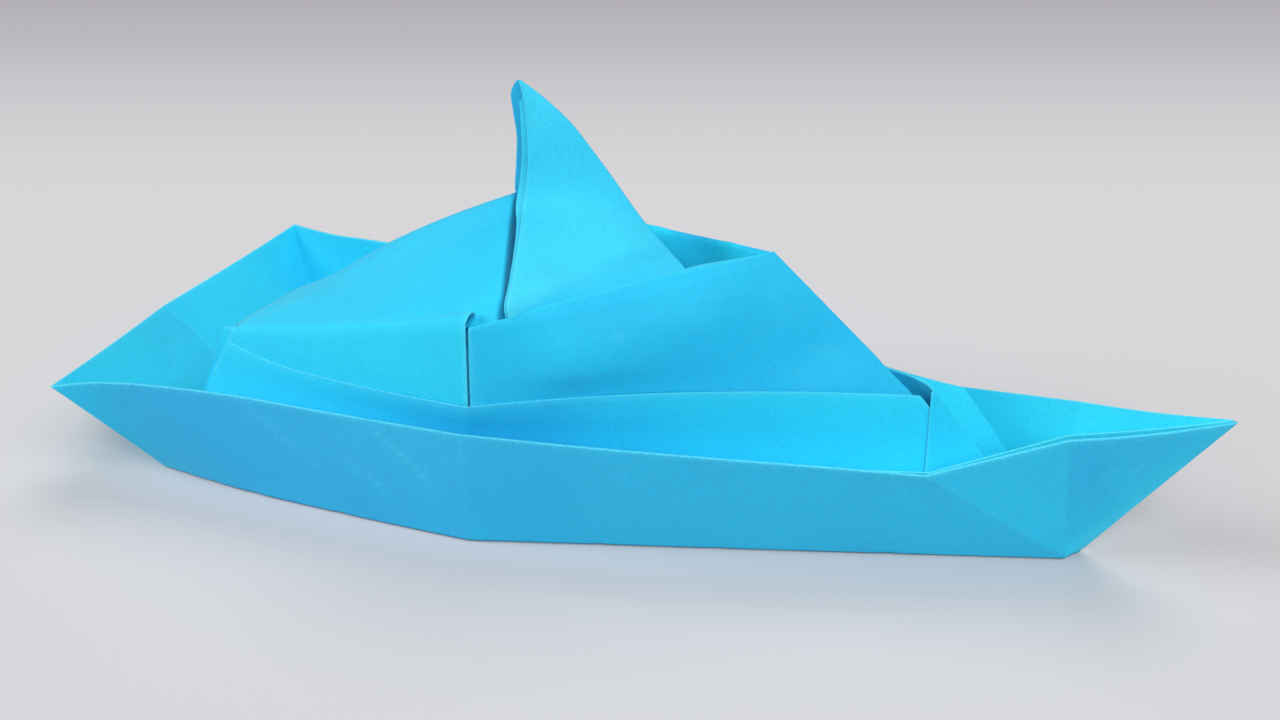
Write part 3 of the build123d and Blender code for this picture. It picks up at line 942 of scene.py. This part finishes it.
def makeFloor(look):
    half = look["half"]
    data = bpy.data.meshes.new("floor")
    corners = [(-half, -half, 0), (half, -half, 0), (half, half, 0), (-half, half, 0)]
    data.from_pydata(corners, [], [(0, 1, 2, 3)])
    floor = bpy.data.objects.new("floor", data)
    bpy.context.scene.collection.objects.link(floor)
    material = bpy.data.materials.new("paleFloor")
    material.use_nodes = True
    tree = material.node_tree
    links = tree.links
    shader = tree.nodes["Principled BSDF"]
    place = addNode(tree, "ShaderNodeTexCoord")
    turn = addNode(tree, "ShaderNodeMapping", inputs={"Rotation": (0.0, 0.0, -math.radians(look["turn"]))})
    split = addNode(tree, "ShaderNodeSeparateXYZ")
    depth = addNode(tree, "ShaderNodeMapRange", {"interpolation_type": "SMOOTHSTEP"},
                    {"From Min": look["darkFrom"], "From Max": look["darkTo"]})
    tone = addNode(tree, "ShaderNodeMix", {"data_type": "RGBA"},
                   {"A": (*look["near"], 1), "B": (*look["far"], 1)})
    links.new(place.outputs["Object"], turn.inputs["Vector"])
    links.new(turn.outputs["Vector"], split.inputs["Vector"])
    links.new(split.outputs["Y"], depth.inputs["Value"])
    links.new(depth.outputs["Result"], tone.inputs["Factor"])
    links.new(tone.outputs["Result"], shader.inputs["Base Color"])
    shader.inputs["Roughness"].default_value = look["roughness"]
    shader.inputs["Specular IOR Level"].default_value = look["specular"]
    data.materials.append(material)


makeFloor(floorLook)
print("floor laid")

# Light: four broad soft lamps round the boat, and a pale grey backdrop that only the camera sees

lightPlan = {
    "backdrop": (0.42, 0.41, 0.46),
    "lamps": {
        "front": {"energy": 1.60, "angle": 30.0, "from": (0.27, -0.72, 0.64)},
        "left": {"energy": 1.42, "angle": 30.0, "from": (-0.80, -0.33, 0.50)},
        "back": {"energy": 1.15, "angle": 40.0, "from": (0.0, 0.57, 0.82)},
        "right": {"energy": 0.88, "angle": 35.0, "from": (0.62, -0.28, 0.73)},
    },
}


def makeLight(plan):
    world = bpy.data.worlds.new("studio")
    bpy.context.scene.world = world
    world.use_nodes = True
    tree = world.node_tree
    backdrop = tree.nodes["Background"]
    backdrop.inputs["Color"].default_value = (*plan["backdrop"], 1)
    path = addNode(tree, "ShaderNodeLightPath")
    tree.links.new(path.outputs["Is Camera Ray"], backdrop.inputs["Strength"])
    for name, lamp in plan["lamps"].items():
        data = bpy.data.lights.new(name, "SUN")
        data.energy = lamp["energy"]
        data.angle = math.radians(lamp["angle"])
        holder = bpy.data.objects.new(name, data)
        holder.rotation_euler = Vector(lamp["from"]).to_track_quat("Z", "Y").to_euler()
        bpy.context.scene.collection.objects.link(holder)


makeLight(lightPlan)

cameraPlan = {
    "place": (0.10964, -0.28807, 0.18363),          # metres
    "target": (0.002391, -0.003447, 0.028781),
    "focalPixels": 1601.87,
    "imageWidth": 1280,
    "sensorWidth": 36.0,
    "clipStart": 0.01,
}


def makeCamera(plan):
    lens = bpy.data.cameras.new("camera")
    lens.sensor_width = plan["sensorWidth"]
    lens.lens = plan["focalPixels"] * plan["sensorWidth"] / plan["imageWidth"]
    lens.clip_start = plan["clipStart"]
    camera = bpy.data.objects.new("camera", lens)
    camera.location = plan["place"]
    look = Vector(plan["target"]) - Vector(plan["place"])
    camera.rotation_euler = look.to_track_quat("-Z", "Y").to_euler()
    bpy.context.scene.collection.objects.link(camera)
    bpy.context.scene.camera = camera


makeCamera(cameraPlan)
bpy.context.scene.view_settings.view_transform = "Standard"
print("light and camera set")
